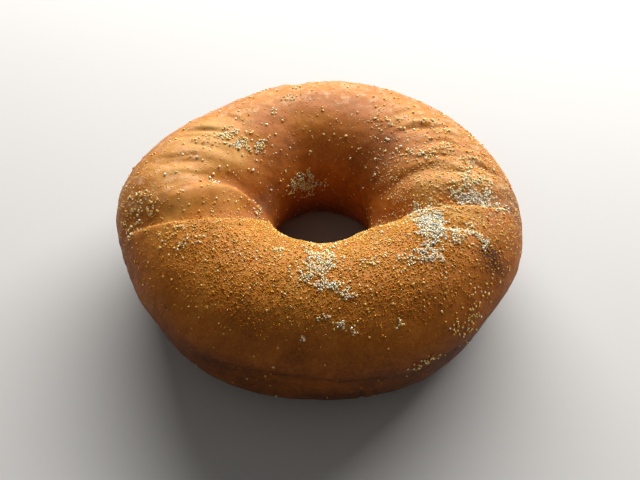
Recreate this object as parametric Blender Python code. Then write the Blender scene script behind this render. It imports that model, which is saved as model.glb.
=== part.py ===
"""A ring doughnut rolled in coarse sugar, about 95 mm across, as one closed solid.

Lengths are in millimetres until a point is handed to Blender, which works in metres. The ring rests on Z = 0
with its hole along Z. A place on the crust is given by two angles in degrees: the ring angle runs
counter-clockwise from +X, so 270 faces -Y, and the tube angle runs from 0 at the widest line, over the top
at 90, to 180 at the side of the hole and 270 underneath.
"""

import random
from collections import namedtuple

import bmesh
import bpy
import numpy as np
from mathutils import Euler, Vector

MM = 0.001
TURN = 360.0

# Driving dimensions of the ring
OUTER_RADIUS = 47.5
HOLE_RADIUS = 11.3
HEIGHT = 31.5
WIDEST_LEVEL = 17.3
REST_DEPTH = 1.4  # how much lower the round underside would reach without the flat that it rests on
INNER_LIFT = 0.8  # the tube's section leans up a little towards the hole
TOP_FULLNESS = 1.01  # powers of the section's cosine and sine: below 1 is boxier, above 1 more pointed
BOTTOM_FULLNESS = 0.94

# Where the two fried halves meet, the lower one stands back
SEAM_LEVEL = 19.0
SEAM_STEP = 1.15
SEAM_HEIGHT = 2.4
SEAM_FADE = 0.35  # the cosine of the tube angle by which the step has its full depth

# Slow swells of the outlines, the step and the seam: turns a ring, size, and the ring angle of a crest
OUTER_SWELLS = ((2, 0.52, 10), (3, 0.44, 63), (4, 0.39, 74), (5, 0.40, 19), (6, 0.36, 48))
HOLE_SWELLS = ((1, 0.34, 28), (2, 0.39, 73), (3, 0.48, 95))
STEP_SWELLS = ((2, 0.30, 0), (3, 0.32, 97))
SEAM_SWELLS = ((1, 0.5, 200), (3, 0.45, 20), (5, 0.35, 110))
# Shallow dents and bulges of the crust: turns a ring, turns a tube, size, phase
UNEVENNESS = ((3, 2, 0.16, 40), (5, 1, 0.14, 200), (7, 3, 0.11, 100), (11, 2, 0.08, 310), (4, 4, 0.10, 15))
# Places where the near side slopes down to the hole sooner: ring angle and its width, tube angle and its
# width, and depth
RIM_DIPS = (
    (196, 15, 152, 24, 0.9),
    (336, 13, 138, 28, 2.4),
    (272, 20, 146, 24, 0.75),
    (308, 9, 150, 22, -0.5),
)

# A crease runs along a path of (tube angle, ring angle) points. On the side that lip_side gives (+1 where
# ring angles grow) its wall is steep, with a raised lip and sometimes a soft shoulder. On the other side it
# slopes up gently. Depth, widths, lip height and shoulder depth are lengths.
Crease = namedtuple("Crease", "path depth lip_side steep gentle lip shoulder", defaults=(0.0,))
CREASES = (
    # the deep fold on the left, where the front of the ring closes over the dough behind it
    Crease(
        ((34, 192.4), (54, 195.3), (86, 201.6), (112, 206.8), (130, 206), (146, 203)),
        1.3, 1, 0.75, 6.0, 0.45, 0.9,
    ),
    # the back edge of the wedge between that fold and the crust behind it
    Crease(
        ((96, 179), (108, 176.5), (121, 175.5), (135, 176.5), (150, 179), (162, 184)),
        1.6, 1, 1.3, 4.0, 0.5,
    ),
    # the deep fold on the right
    Crease(
        ((46, 354.4), (66, 351.4), (84, 347.8), (106, 344), (128, 340.4), (156, 336.6)),
        1.2, -1, 0.75, 4.6, 0.45, 0.8,
    ),
    # a dimple in the crust before it
    Crease(((95, 337), (83, 332.5), (71, 335)), 0.6, -1, 1.1, 1.9, 0.2),
    # the edge where the right side turns down into the hole
    Crease(((80, 7), (94, 11), (112, 11), (126, 10), (146, 4)), 0.45, 1, 1.2, 3.0, 0.2),
    # short wrinkles at the back right
    Crease(((94, 41), (82, 38), (66, 34)), 0.6, 1, 0.8, 1.5, 0.3),
    Crease(((92, 27), (80, 27), (72, 23.5), (56, 21)), 0.8, -1, 0.8, 1.7, 0.3),
    Crease(((72, 12), (58, 11), (40, 9)), 0.6, 1, 1.0, 2.4, 0.2),
    # soft wrinkles at the back left
    Crease(((60, 171), (80, 169), (98, 170)), 0.35, 1, 1.5, 3.4, 0.15),
    Crease(((52, 184), (70, 181), (92, 181)), 0.3, 1, 1.8, 4.0, 0.2),
    Crease(((44, 146), (66, 149), (84, 147)), 0.15, -1, 1.5, 3.4, 0.1),
    # two more at the back, low on the outside
    Crease(((8, 98), (26, 101), (50, 99)), 0.7, 1, 1.4, 3.4, 0.2),
    Crease(((-24, 62), (2, 66), (24, 64)), 0.6, -1, 1.4, 3.4, 0.2),
)
CREASE_FADE = 17.0  # degrees of tube over which a crease dies out at either end
LIP_RISE = 2.2  # how far from its crease a lip is highest, as a multiple of the steep width
LIP_REACH = 3.0  # over how far it dies out after that
SHOULDER_WIDTH = 4.2
PATH_PLACES = 49  # a path becomes this many places
ROUNDING = 13  # how many of them are averaged to round its corners

# Sugar: places where lumps gather, as (ring angle, tube angle, spread in mm, number of lumps)
CLUSTERS = (
    (270, 92, 4.2, 11), (335, 100, 3.6, 12), (331, 76, 3.0, 6), (313, 85, 3.2, 8), (354, 68, 2.6, 8),
    (332, 63, 3.0, 5), (5, 73, 2.8, 4), (21, 100, 2.6, 3), (143, 111, 3.4, 7), (186, 50, 4.0, 5),
    (110, 176, 2.6, 4), (104, 84, 2.4, 2), (178, 108, 1.6, 2), (272, 52, 2.8, 4), (293, 45, 1.8, 2),
    (215, 74, 2.6, 3), (313, 22, 3.4, 4),
)
CLUSTER_TIGHTNESS = 1.6  # a cluster's spread holds this many standard deviations of its lumps
TRIES = 3  # places drawn for each lump of a cluster, as some are too near another
SPREAD_LUMPS = 26  # further lumps, evenly spaced over the upper crust
UPPER_TUBE = (30.0, 150.0)
LUMP_WIDTH = (0.95, 1.5)
LUMP_STRETCH = (0.8, 1.15)  # each side's length as a share of the lump's width
LUMP_SKEW = 0.13  # how far a lump's corners stray, as a share of its width
LUMP_RISE = 0.2  # how far a lump's middle stands above the crust, as a share of its width
LUMP_GAP = 1.75  # closest that the middles of two lumps may lie
GOLDEN_TURN = 137.508
SEED = 11

# Mesh of the ring, its quads gathered towards the creases and the seam
RING_SEGMENTS = 108
TUBE_SEGMENTS = 34
Gathering = namedtuple("Gathering", "centres width pull")
RING_GATHERING = Gathering((177, 193, 204, 334, 342, 350, 9, 26, 39), 7.0, 1.4)
TUBE_GATHERING = Gathering((6, 100), 12.0, 1.6)
FINE_STEP = 0.25

CRUST_COLOUR = (0.33, 0.13, 0.032, 1.0)
CRUST_ROUGHNESS = 0.62


def smooth_step(low, high, value):
    """0 below low, 1 above high, and an even ease between them."""
    share = np.clip((value - low) / (high - low), 0.0, 1.0)
    return share * share * (3.0 - 2.0 * share)


def swell(terms, ring):
    """The sum of slow waves round the ring."""
    return sum(size * np.cos(np.radians(turns * (ring - crest))) for turns, size, crest in terms)


def apart(angle, other):
    """The signed difference of two angles in degrees, the short way round."""
    return (angle - other + 180.0) % TURN - 180.0


def rounded_path(path):
    """A path as many close places, ordered by tube angle, with its corners rounded off."""
    ordered = np.array(sorted(path), dtype=float)
    along = np.linspace(ordered[0, 0], ordered[-1, 0], PATH_PLACES)
    across = np.interp(along, ordered[:, 0], ordered[:, 1])
    padded = np.pad(across, ROUNDING // 2, mode="reflect", reflect_type="odd")
    return along, np.convolve(padded, np.ones(ROUNDING) / ROUNDING, mode="valid")


def crease_height(crease, ring, tube, radius):
    """How far a crease moves the crust along its normal."""
    along, across = rounded_path(crease.path)
    turned = (tube + 90.0) % TURN - 90.0
    middle = np.interp(turned, along, across)
    distance = np.radians(apart(ring, middle)) * radius * crease.lip_side
    width = np.where(distance > 0.0, crease.steep, crease.gentle)
    valley = -crease.depth * np.exp(-((distance / width) ** 2))
    reach = distance / crease.steep
    lip = crease.lip * smooth_step(0.0, LIP_RISE, reach)
    lip = lip * np.exp(-((np.maximum(reach - LIP_RISE, 0.0) / LIP_REACH) ** 2))
    shoulder_width = np.where(distance > 0.0, SHOULDER_WIDTH, crease.gentle)
    shoulder = -crease.shoulder * np.exp(-((distance / shoulder_width) ** 2))
    ends = smooth_step(along[0] - CREASE_FADE, along[0] + CREASE_FADE, turned)
    ends = ends * (1.0 - smooth_step(along[-1] - CREASE_FADE, along[-1] + CREASE_FADE, turned))
    return (valley + lip + shoulder) * ends


def crust_points(ring, tube):
    """Points of the crust in millimetres, for arrays of ring and tube angles."""
    outer = OUTER_RADIUS + swell(OUTER_SWELLS, ring)
    hole = HOLE_RADIUS + swell(HOLE_SWELLS, ring)
    middle, half = (outer + hole) / 2.0, (outer - hole) / 2.0
    cosine, sine = np.cos(np.radians(tube)), np.sin(np.radians(tube))
    above = sine > 0.0
    fullness = np.where(above | (cosine < 0.0), TOP_FULLNESS, BOTTOM_FULLNESS)
    radius = middle + half * np.sign(cosine) * np.abs(cosine) ** fullness
    rise = np.where(above, HEIGHT - WIDEST_LEVEL, WIDEST_LEVEL + REST_DEPTH)
    lift = np.abs(sine) ** np.where(above, TOP_FULLNESS, BOTTOM_FULLNESS)
    level = WIDEST_LEVEL + rise * np.sign(sine) * lift + INNER_LIFT * np.clip(-cosine, 0.0, 1.0)
    below_seam = SEAM_LEVEL + swell(SEAM_SWELLS, ring) - level
    step = (SEAM_STEP + swell(STEP_SWELLS, ring)) * smooth_step(0.0, SEAM_HEIGHT, below_seam)
    step = step * smooth_step(0.0, SEAM_FADE, cosine)
    relief = sum(crease_height(crease, ring, tube, radius) for crease in CREASES)
    for ring_turns, tube_turns, size, phase in UNEVENNESS:
        relief = relief + size * np.sin(np.radians(ring_turns * ring + phase)) * np.cos(
            np.radians(tube_turns * tube + phase)
        )
    for place, width, level_place, level_width, depth in RIM_DIPS:
        relief = relief - depth * np.exp(
            -((apart(ring, place) / width) ** 2) - (apart(tube, level_place) / level_width) ** 2
        )
    radius = radius - step + relief * cosine
    level = np.maximum(level + relief * sine, 0.0)
    angle = np.radians(ring)
    return np.stack([radius * np.cos(angle), radius * np.sin(angle), level], axis=-1)


def gathered_angles(count, gathering):
    """Angles round a full turn, closer together near the gathering's centres."""
    fine = np.arange(0.0, TURN, FINE_STEP)
    density = np.ones_like(fine)
    for centre in gathering.centres:
        density += gathering.pull * np.exp(-((apart(fine, centre) / gathering.width) ** 2))
    total = np.concatenate([[0.0], np.cumsum(density)])
    levels = np.arange(count) * total[-1] / count
    return np.interp(levels, total, np.append(fine, TURN))


def material(name, colour, roughness):
    """A Principled material of one colour."""
    made = bpy.data.materials.new(name)
    made.use_nodes = True
    shader = made.node_tree.nodes["Principled BSDF"]
    shader.inputs["Base Color"].default_value = colour
    shader.inputs["Roughness"].default_value = roughness
    shader.inputs["Metallic"].default_value = 0.0
    return made


def collection(name):
    """A new collection in the scene."""
    made = bpy.data.collections.new(name)
    bpy.context.scene.collection.children.link(made)
    return made


def move_to(thing, target):
    """Puts an object in one collection alone."""
    for held_in in list(thing.users_collection):
        held_in.objects.unlink(thing)
    target.objects.link(thing)


def make_ring(target, crust):
    """The ring: a torus whose points are moved onto the crust."""
    bpy.ops.mesh.primitive_torus_add(major_segments=RING_SEGMENTS, minor_segments=TUBE_SEGMENTS)
    ring = bpy.context.object
    ring.name = "doughnut"
    ring.data.name = "doughnut"
    move_to(ring, target)
    ring_angles = gathered_angles(RING_SEGMENTS, RING_GATHERING)
    tube_angles = gathered_angles(TUBE_SEGMENTS, TUBE_GATHERING)
    turn, loop = np.divmod(np.arange(RING_SEGMENTS * TUBE_SEGMENTS), TUBE_SEGMENTS)
    points = crust_points(ring_angles[turn], tube_angles[loop])
    ring.data.vertices.foreach_set("co", (points * MM).ravel())
    ring.data.update()
    ring.data.materials.append(crust)
    ring.data.shade_smooth()
    return ring


def lump_places(draw):
    """Ring and tube angles of the sugar lumps: those of the clusters, then the evenly spread ones."""
    for ring, tube, spread, number in CLUSTERS:
        middle = crust_points(np.array([ring]), np.array([tube]))[0]
        ring_reach = spread / CLUSTER_TIGHTNESS / np.hypot(middle[0], middle[1])
        tube_reach = spread / CLUSTER_TIGHTNESS / ((OUTER_RADIUS - HOLE_RADIUS) / 2.0)
        for _ in range(number * TRIES):
            ring_away = np.degrees(draw.gauss(0.0, ring_reach))
            tube_away = np.degrees(draw.gauss(0.0, tube_reach))
            yield ring + ring_away, tube + tube_away, number, (ring, tube)
    for index in range(SPREAD_LUMPS):
        yield index * GOLDEN_TURN, draw.uniform(*UPPER_TUBE), 1, index


def lump_centres(body, draw):
    """Chooses places on the body's crust that keep the lumps apart, with the direction each stands in."""
    chosen, counts = [], {}
    for ring, tube, most, group in lump_places(draw):
        aim = crust_points(np.array([ring]), np.array([tube]))[0]
        _, centre, normal, _ = body.closest_point_on_mesh(Vector(aim) * MM)
        near = any((centre - other).length < LUMP_GAP * MM for other, _ in chosen)
        if near or counts.get(group, 0) >= most:
            continue
        counts[group] = counts.get(group, 0) + 1
        chosen.append((centre, normal))
    return chosen


def make_lump(target, index, centre, normal, draw):
    """One crystal lump: a squat, skewed block, turned at random and sunk into the crust."""
    width = draw.uniform(*LUMP_WIDTH)
    shape = Vector([width * draw.uniform(*LUMP_STRETCH) for _ in range(3)])
    place = centre + normal * width * LUMP_RISE * MM
    turn = Euler([draw.uniform(0.0, 2.0 * np.pi) for _ in range(3)]).to_matrix()
    block = bmesh.new()
    bmesh.ops.create_cube(block, size=1.0)
    for vertex in block.verts:
        stray = Vector([draw.uniform(-LUMP_SKEW, LUMP_SKEW) for _ in range(3)])
        vertex.co = place + turn @ ((vertex.co + stray) * shape) * MM
    bmesh.ops.triangulate(block, faces=block.faces)
    mesh = bpy.data.meshes.new(f"lump_{index:03d}")
    block.to_mesh(mesh)
    block.free()
    target.objects.link(bpy.data.objects.new(mesh.name, mesh))


def join_lumps(ring, lumps):
    """Unites the ring with the collection of lumps, and removes the lumps' own objects."""
    union = ring.modifiers.new("sugar", "BOOLEAN")
    union.operation = "UNION"
    union.operand_type = "COLLECTION"
    union.collection = lumps
    union.solver = "EXACT"
    bpy.context.view_layer.objects.active = ring
    bpy.ops.object.modifier_apply(modifier=union.name)
    for lump in list(lumps.objects):
        mesh = lump.data
        bpy.data.objects.remove(lump)
        bpy.data.meshes.remove(mesh)
    bpy.data.collections.remove(lumps)


def keep_main_shell(body):
    """Deletes loose scraps, and the walls of hollows that the union sealed, which fills them."""
    model = bmesh.new()
    model.from_mesh(body.data)
    unseen, shells = set(model.verts), []
    while unseen:
        shell, edge_of_shell = set(), [unseen.pop()]
        while edge_of_shell:
            vertex = edge_of_shell.pop()
            shell.add(vertex)
            found = {edge.other_vert(vertex) for edge in vertex.link_edges} & unseen
            unseen -= found
            edge_of_shell.extend(found)
        shells.append(shell)
    shells.sort(key=len)
    for shell in shells[:-1]:
        bmesh.ops.delete(model, geom=list(shell), context="VERTS")
    model.to_mesh(body.data)
    model.free()


def main():
    for thing in list(bpy.data.objects):
        bpy.data.objects.remove(thing)
    draw = random.Random(SEED)
    pieces = collection("sugar_doughnut")
    lumps = collection("sugar_lumps")
    ring = make_ring(pieces, material("crust", CRUST_COLOUR, CRUST_ROUGHNESS))
    for index, (centre, normal) in enumerate(lump_centres(ring, draw)):
        make_lump(lumps, index, centre, normal, draw)
    print(len(lumps.objects), "sugar lumps")
    join_lumps(ring, lumps)
    keep_main_shell(ring)


main()
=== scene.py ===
# %% [markdown]
# # A sugar doughnut, dressed for its picture
#
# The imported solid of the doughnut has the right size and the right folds, but only coarse faces and one
# colour. This lesson models the crust again at a finer grain, browns it, and scatters real sugar crystals
# over it. Every length of the crust and the sugar is worked out in millimetres, and becomes metres when it
# goes to Blender.

# %% Load the frame that everything is built around
from collections import namedtuple

import bmesh
import bpy
import numpy as np
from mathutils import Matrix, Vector, noise


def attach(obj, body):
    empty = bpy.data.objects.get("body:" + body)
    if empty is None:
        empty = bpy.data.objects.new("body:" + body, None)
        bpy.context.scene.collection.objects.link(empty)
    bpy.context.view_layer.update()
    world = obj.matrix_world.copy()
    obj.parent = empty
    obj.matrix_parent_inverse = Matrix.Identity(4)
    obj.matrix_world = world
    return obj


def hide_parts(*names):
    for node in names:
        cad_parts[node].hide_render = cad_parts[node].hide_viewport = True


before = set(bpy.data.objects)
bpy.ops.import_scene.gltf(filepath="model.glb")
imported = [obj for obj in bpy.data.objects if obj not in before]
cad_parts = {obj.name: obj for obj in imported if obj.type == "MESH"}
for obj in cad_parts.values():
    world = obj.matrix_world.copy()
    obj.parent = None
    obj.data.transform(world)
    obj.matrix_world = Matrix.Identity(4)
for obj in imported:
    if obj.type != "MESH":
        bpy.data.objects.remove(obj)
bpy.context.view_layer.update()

MM = 0.001
TURN = 360.0

# %% [markdown]
# ## The camera
#
# The picture looks down on the ring at about 45 degrees from a quarter of a metre away, close enough for
# the front to look larger than the back. A camera can be placed by hand, but here its distance, its
# height angle and its field of view were worked out first, so they are stated and turned into a place and
# a lens. The small tilt puts the ring a little above the middle of the frame, without any lens shift.

# %% Place the camera
CAMERA_DISTANCE = 250.0
CAMERA_ELEVATION = 45.44
CAMERA_TILT = 0.66
CAMERA_PAN = 0.04
AIM_HEIGHT = 16.0
FOCAL_PIXELS = 1042.0
FRAME_WIDTH_PIXELS = 640.0
SENSOR_WIDTH = 36.0

elevation = np.radians(CAMERA_ELEVATION)
lens = bpy.data.cameras.new("camera")
lens.sensor_width = SENSOR_WIDTH
lens.lens = SENSOR_WIDTH * FOCAL_PIXELS / FRAME_WIDTH_PIXELS
lens.clip_start = 10.0 * MM
camera = bpy.data.objects.new("camera", lens)
bpy.context.scene.collection.objects.link(camera)
camera.location = (
    0.0,
    -CAMERA_DISTANCE * np.cos(elevation) * MM,
    (AIM_HEIGHT + CAMERA_DISTANCE * np.sin(elevation)) * MM,
)
camera.rotation_euler = (
    np.radians(90.0 - CAMERA_ELEVATION - CAMERA_TILT),
    0.0,
    np.radians(CAMERA_PAN),
)
bpy.context.scene.camera = camera
print("lens in mm:", round(lens.lens, 2))

# %% [markdown]
# ## Floor and light
#
# A pale matt floor and one broad soft light like a window, behind the ring, a little to the right and
# about 33 degrees up, make the bright far rim and the dark near flank of the picture. Small lamps would
# give hard shadows in the folds, and a strong light from the front would flatten them, so there is only a
# weak fill there.

# %% Make the floor and the lights
FLOOR_SIZE = 3.0
FLOOR_COLOUR = (0.60, 0.60, 0.60, 1.0)
SKY_COLOUR = (1.0, 0.97, 0.92, 1.0)
SKY_STRENGTH = 0.125


def area_light(name, place, width, height, watts, colour):
    """A soft rectangular light turned towards the doughnut, with its place and its sides in metres."""
    lamp = bpy.data.lights.new(name, "AREA")
    lamp.shape = "RECTANGLE"
    lamp.size = width
    lamp.size_y = height
    lamp.energy = watts
    lamp.color = colour
    made = bpy.data.objects.new(name, lamp)
    made.location = place
    aim = Vector((0.0, 0.0, AIM_HEIGHT * MM)) - made.location
    made.rotation_euler = aim.to_track_quat("-Z", "Y").to_euler()
    bpy.context.scene.collection.objects.link(made)


bpy.ops.mesh.primitive_plane_add(size=FLOOR_SIZE)
floor = bpy.context.object
floor.name = "floor"
floor_finish = bpy.data.materials.new("floor")
floor_finish.use_nodes = True
floor_shader = floor_finish.node_tree.nodes["Principled BSDF"]
floor_shader.inputs["Base Color"].default_value = FLOOR_COLOUR
floor_shader.inputs["Roughness"].default_value = 0.9
floor.data.materials.append(floor_finish)

area_light(
    "window", (0.12, 0.47, 0.335), width=0.90, height=0.30, watts=9.5, colour=(1.0, 0.97, 0.93)
)
area_light(
    "front_fill", (-0.20, -0.55, 0.45), width=0.50, height=0.50, watts=0.20, colour=(1.0, 0.98, 0.95)
)
sky = bpy.data.worlds.new("sky")
sky.use_nodes = True
sky.node_tree.nodes["Background"].inputs["Color"].default_value = SKY_COLOUR
sky.node_tree.nodes["Background"].inputs["Strength"].default_value = SKY_STRENGTH
bpy.context.scene.world = sky
bpy.context.scene.view_settings.view_transform = "Standard"
print("lights:", [thing.name for thing in bpy.data.objects if thing.type == "LIGHT"])

# %% [markdown]
# ## The form of the ring
#
# A doughnut is a torus that has been fried on one side and then on the other. The upper half swelled over
# the lower one and left a step near the widest line, the top is fuller than a circle, and the outline
# wanders. Two angles name a place on the crust: the ring angle runs counter-clockwise from +X, so 270
# faces the camera, and the tube angle runs from 0 at the widest line over the top at 90 to 180 at the
# hole and 270 underneath. One function turns those two angles into a point, so the crust and each grain
# of sugar agree on where it is.

# %% State the sizes of the ring
OUTER_RADIUS = 47.5
HOLE_RADIUS = 11.3
HEIGHT = 31.5
WIDEST_LEVEL = 17.3
REST_DEPTH = 1.4
INNER_LIFT = 0.8
TOP_FULLNESS = 1.01
BOTTOM_FULLNESS = 0.94

SEAM_LEVEL = 19.0
SEAM_STEP = 1.15
SEAM_HEIGHT = 2.4
SEAM_FADE = 0.35

# Slow swells: turns a ring, size, and the ring angle of a crest
OUTER_SWELLS = ((2, 0.52, 10), (3, 0.44, 63), (4, 0.39, 74), (5, 0.40, 19), (6, 0.36, 48))
HOLE_SWELLS = ((1, 0.34, 28), (2, 0.39, 73), (3, 0.48, 95))
STEP_SWELLS = ((2, 0.30, 0), (3, 0.32, 97))
SEAM_SWELLS = ((1, 0.5, 200), (3, 0.45, 20), (5, 0.35, 110))
# Shallow dents: turns a ring, turns a tube, size, phase
UNEVENNESS = ((3, 2, 0.16, 40), (5, 1, 0.14, 200), (7, 3, 0.11, 100), (11, 2, 0.08, 310), (4, 4, 0.10, 15))
# Places where the inner slope starts sooner, or later where the depth is below 0: ring angle and its width,
# tube angle and its width, depth
RIM_DIPS = (
    (196, 15, 152, 24, 0.9),
    (336, 13, 138, 28, 2.4),
    (272, 20, 146, 24, 0.75),
    (308, 9, 150, 22, -0.5),
)


def smooth_step(low, high, value):
    """0 below low, 1 above high, and an even ease between them."""
    share = np.clip((value - low) / (high - low), 0.0, 1.0)
    return share * share * (3.0 - 2.0 * share)


def swell(terms, ring):
    """The sum of slow waves round the ring."""
    return sum(size * np.cos(np.radians(turns * (ring - crest))) for turns, size, crest in terms)


def apart(angle, other):
    """The signed difference of two angles in degrees, the short way round."""
    return (angle - other + 180.0) % TURN - 180.0


# %% [markdown]
# ## The folds
#
# While it fried, the dough closed over itself in two places. Each fold has a steep wall with a raised lip
# on one side and a gentle slope on the other. A sculptor would carve them by hand. Here each one is a
# path on the crust with a depth and two widths, because the same rule then also makes the short wrinkles
# round them, and tells the browning where the folds are.

# %% List the folds and wrinkles
# path of (tube angle, ring angle), depth, the side of its lip (+1 where ring angles grow), steep and gentle
# width, lip height, and the depth of the soft shoulder on that side, all lengths in mm
Crease = namedtuple("Crease", "path depth lip_side steep gentle lip shoulder", defaults=(0.0,))
FOLDS = (
    # the deep fold on the left, where the front of the ring closes over the dough behind it
    Crease(
        ((34, 192.4), (54, 195.3), (86, 201.6), (112, 206.8), (130, 206), (146, 203)),
        1.3, 1, 0.75, 6.0, 0.45, 0.9,
    ),
    # the back edge of the wedge between that fold and the crust behind it
    Crease(
        ((96, 179), (108, 176.5), (121, 175.5), (135, 176.5), (150, 179), (162, 184)),
        1.6, 1, 1.3, 4.0, 0.5,
    ),
    # the deep fold on the right
    Crease(
        ((46, 354.4), (66, 351.4), (84, 347.8), (106, 344), (128, 340.4), (156, 336.6)),
        1.2, -1, 0.75, 4.6, 0.45, 0.8,
    ),
    # a dimple in the crust before it
    Crease(((95, 337), (83, 332.5), (71, 335)), 0.6, -1, 1.1, 1.9, 0.2),
    # the edge where the right side turns down into the hole
    Crease(((80, 7), (94, 11), (112, 11), (126, 10), (146, 4)), 0.45, 1, 1.2, 3.0, 0.2),
    # short wrinkles at the back right
    Crease(((94, 41), (82, 38), (66, 34)), 0.6, 1, 0.8, 1.5, 0.3),
    Crease(((92, 27), (80, 27), (72, 23.5), (56, 21)), 0.8, -1, 0.8, 1.7, 0.3),
    Crease(((72, 12), (58, 11), (40, 9)), 0.6, 1, 1.0, 2.4, 0.2),
    # soft wrinkles at the back left
    Crease(((60, 171), (80, 169), (98, 170)), 0.35, 1, 1.5, 3.4, 0.15),
    Crease(((52, 184), (70, 181), (92, 181)), 0.3, 1, 1.8, 4.0, 0.2),
    Crease(((44, 146), (66, 149), (84, 147)), 0.15, -1, 1.5, 3.4, 0.1),
    # two more at the back, low on the outside
    Crease(((8, 98), (26, 101), (50, 99)), 0.7, 1, 1.4, 3.4, 0.2),
    Crease(((-24, 62), (2, 66), (24, 64)), 0.6, -1, 1.4, 3.4, 0.2),
)
print(len(FOLDS), "folds and single wrinkles")

# %% Turn a crease into relief
# degrees of tube angle over which a crease dies out at either end
CREASE_FADE = 17.0
# where a lip is highest and how far it dies out beyond, as multiples of the steep width
LIP_RISE = 2.2
LIP_REACH = 3.0
# the width of the soft shoulder in mm
SHOULDER_WIDTH = 4.2
# a path becomes this many places, and so many neighbours are averaged to round its corners
PATH_PLACES = 49
ROUNDING = 13


def rounded_path(path):
    """A path as many close places, ordered by tube angle, with its corners rounded off."""
    ordered = np.array(sorted(path), dtype=float)
    along = np.linspace(ordered[0, 0], ordered[-1, 0], PATH_PLACES)
    across = np.interp(along, ordered[:, 0], ordered[:, 1])
    padded = np.pad(across, ROUNDING // 2, mode="reflect", reflect_type="odd")
    return along, np.convolve(padded, np.ones(ROUNDING) / ROUNDING, mode="valid")


def crease_height(crease, ring, tube, radius):
    """How far a crease moves the crust along its normal."""
    along, across = rounded_path(crease.path)
    turned = (tube + 90.0) % TURN - 90.0
    middle = np.interp(turned, along, across)
    distance = np.radians(apart(ring, middle)) * radius * crease.lip_side
    width = np.where(distance > 0.0, crease.steep, crease.gentle)
    valley = -crease.depth * np.exp(-((distance / width) ** 2))
    reach = distance / crease.steep
    lip = crease.lip * smooth_step(0.0, LIP_RISE, reach)
    lip = lip * np.exp(-((np.maximum(reach - LIP_RISE, 0.0) / LIP_REACH) ** 2))
    shoulder_width = np.where(distance > 0.0, SHOULDER_WIDTH, crease.gentle)
    shoulder = -crease.shoulder * np.exp(-((distance / shoulder_width) ** 2))
    ends = smooth_step(along[0] - CREASE_FADE, along[0] + CREASE_FADE, turned)
    ends = ends * (1.0 - smooth_step(along[-1] - CREASE_FADE, along[-1] + CREASE_FADE, turned))
    return (valley + lip + shoulder) * ends


# %% [markdown]
# ## Fine wrinkles and pimples
#
# Between the folds the crust isn't smooth. Frying leaves short parallel wrinkles beside each fold,
# pimples a few millimetres wide, and a small crack in the foot. The wrinkles are more creases from the
# same rule, drawn by seeded chance round the folds. The pimples are a noise that moves the crust by a
# tenth of a millimetre or two. They are in the mesh and not only in a bump, so that they still show at
# the outline.

# %% Draw the fine wrinkles
wrinkle_draw = np.random.default_rng(5)
# ring angle, tube angle, how far they scatter in degrees, how they lean, how many
WRINKLE_FIELDS = (
    (18, 70, (18, 22), 0.16, 20),
    (42, 66, (16, 24), 0.22, 14),
    (356, 50, (8, 14), 0.0, 5),
    (162, 72, (18, 24), -0.14, 16),
    (105, 62, (34, 26), 0.0, 10),
)
# how far in degrees a wrinkle stretches up and down the tube from its middle
HALF_LENGTHS = (5.0, 13.0)
# its depth, and its width on the steep and on the gentle side, in mm
WRINKLE_DEPTHS = (0.12, 0.36)
STEEP_WIDTHS = (0.5, 0.8)
GENTLE_WIDTHS = (0.9, 1.6)
# the height of its lip as a share of its depth
WRINKLE_LIP = 0.35
CRACK = Crease(((-40, 282.4), (-24, 281.4), (-8, 281.0)), 0.7, 1, 0.35, 0.5, 0.15)


def draw_wrinkles(field):
    """Short wrinkles that run mostly along the tube, scattered round one place."""
    ring, tube, (ring_reach, tube_reach), mean_lean, number = field
    made = []
    for _ in range(number):
        middle_ring = ring + wrinkle_draw.normal() * ring_reach * 0.6
        middle_tube = tube + wrinkle_draw.normal() * tube_reach * 0.6
        half = wrinkle_draw.uniform(*HALF_LENGTHS)
        lean = half * (mean_lean + wrinkle_draw.normal() * 0.05)
        path = (
            (middle_tube - half, middle_ring - lean),
            (middle_tube, middle_ring + wrinkle_draw.normal() * 0.5),
            (middle_tube + half, middle_ring + lean),
        )
        depth = wrinkle_draw.uniform(*WRINKLE_DEPTHS)
        side = 1 if wrinkle_draw.random() < 0.5 else -1
        steep = wrinkle_draw.uniform(*STEEP_WIDTHS)
        gentle = wrinkle_draw.uniform(*GENTLE_WIDTHS)
        made.append(Crease(path, depth, side, steep, gentle, depth * WRINKLE_LIP))
    return made


WRINKLES = [wrinkle for field in WRINKLE_FIELDS for wrinkle in draw_wrinkles(field)] + [CRACK]
print(len(FOLDS), "folds and", len(WRINKLES), "fine wrinkles")


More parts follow.
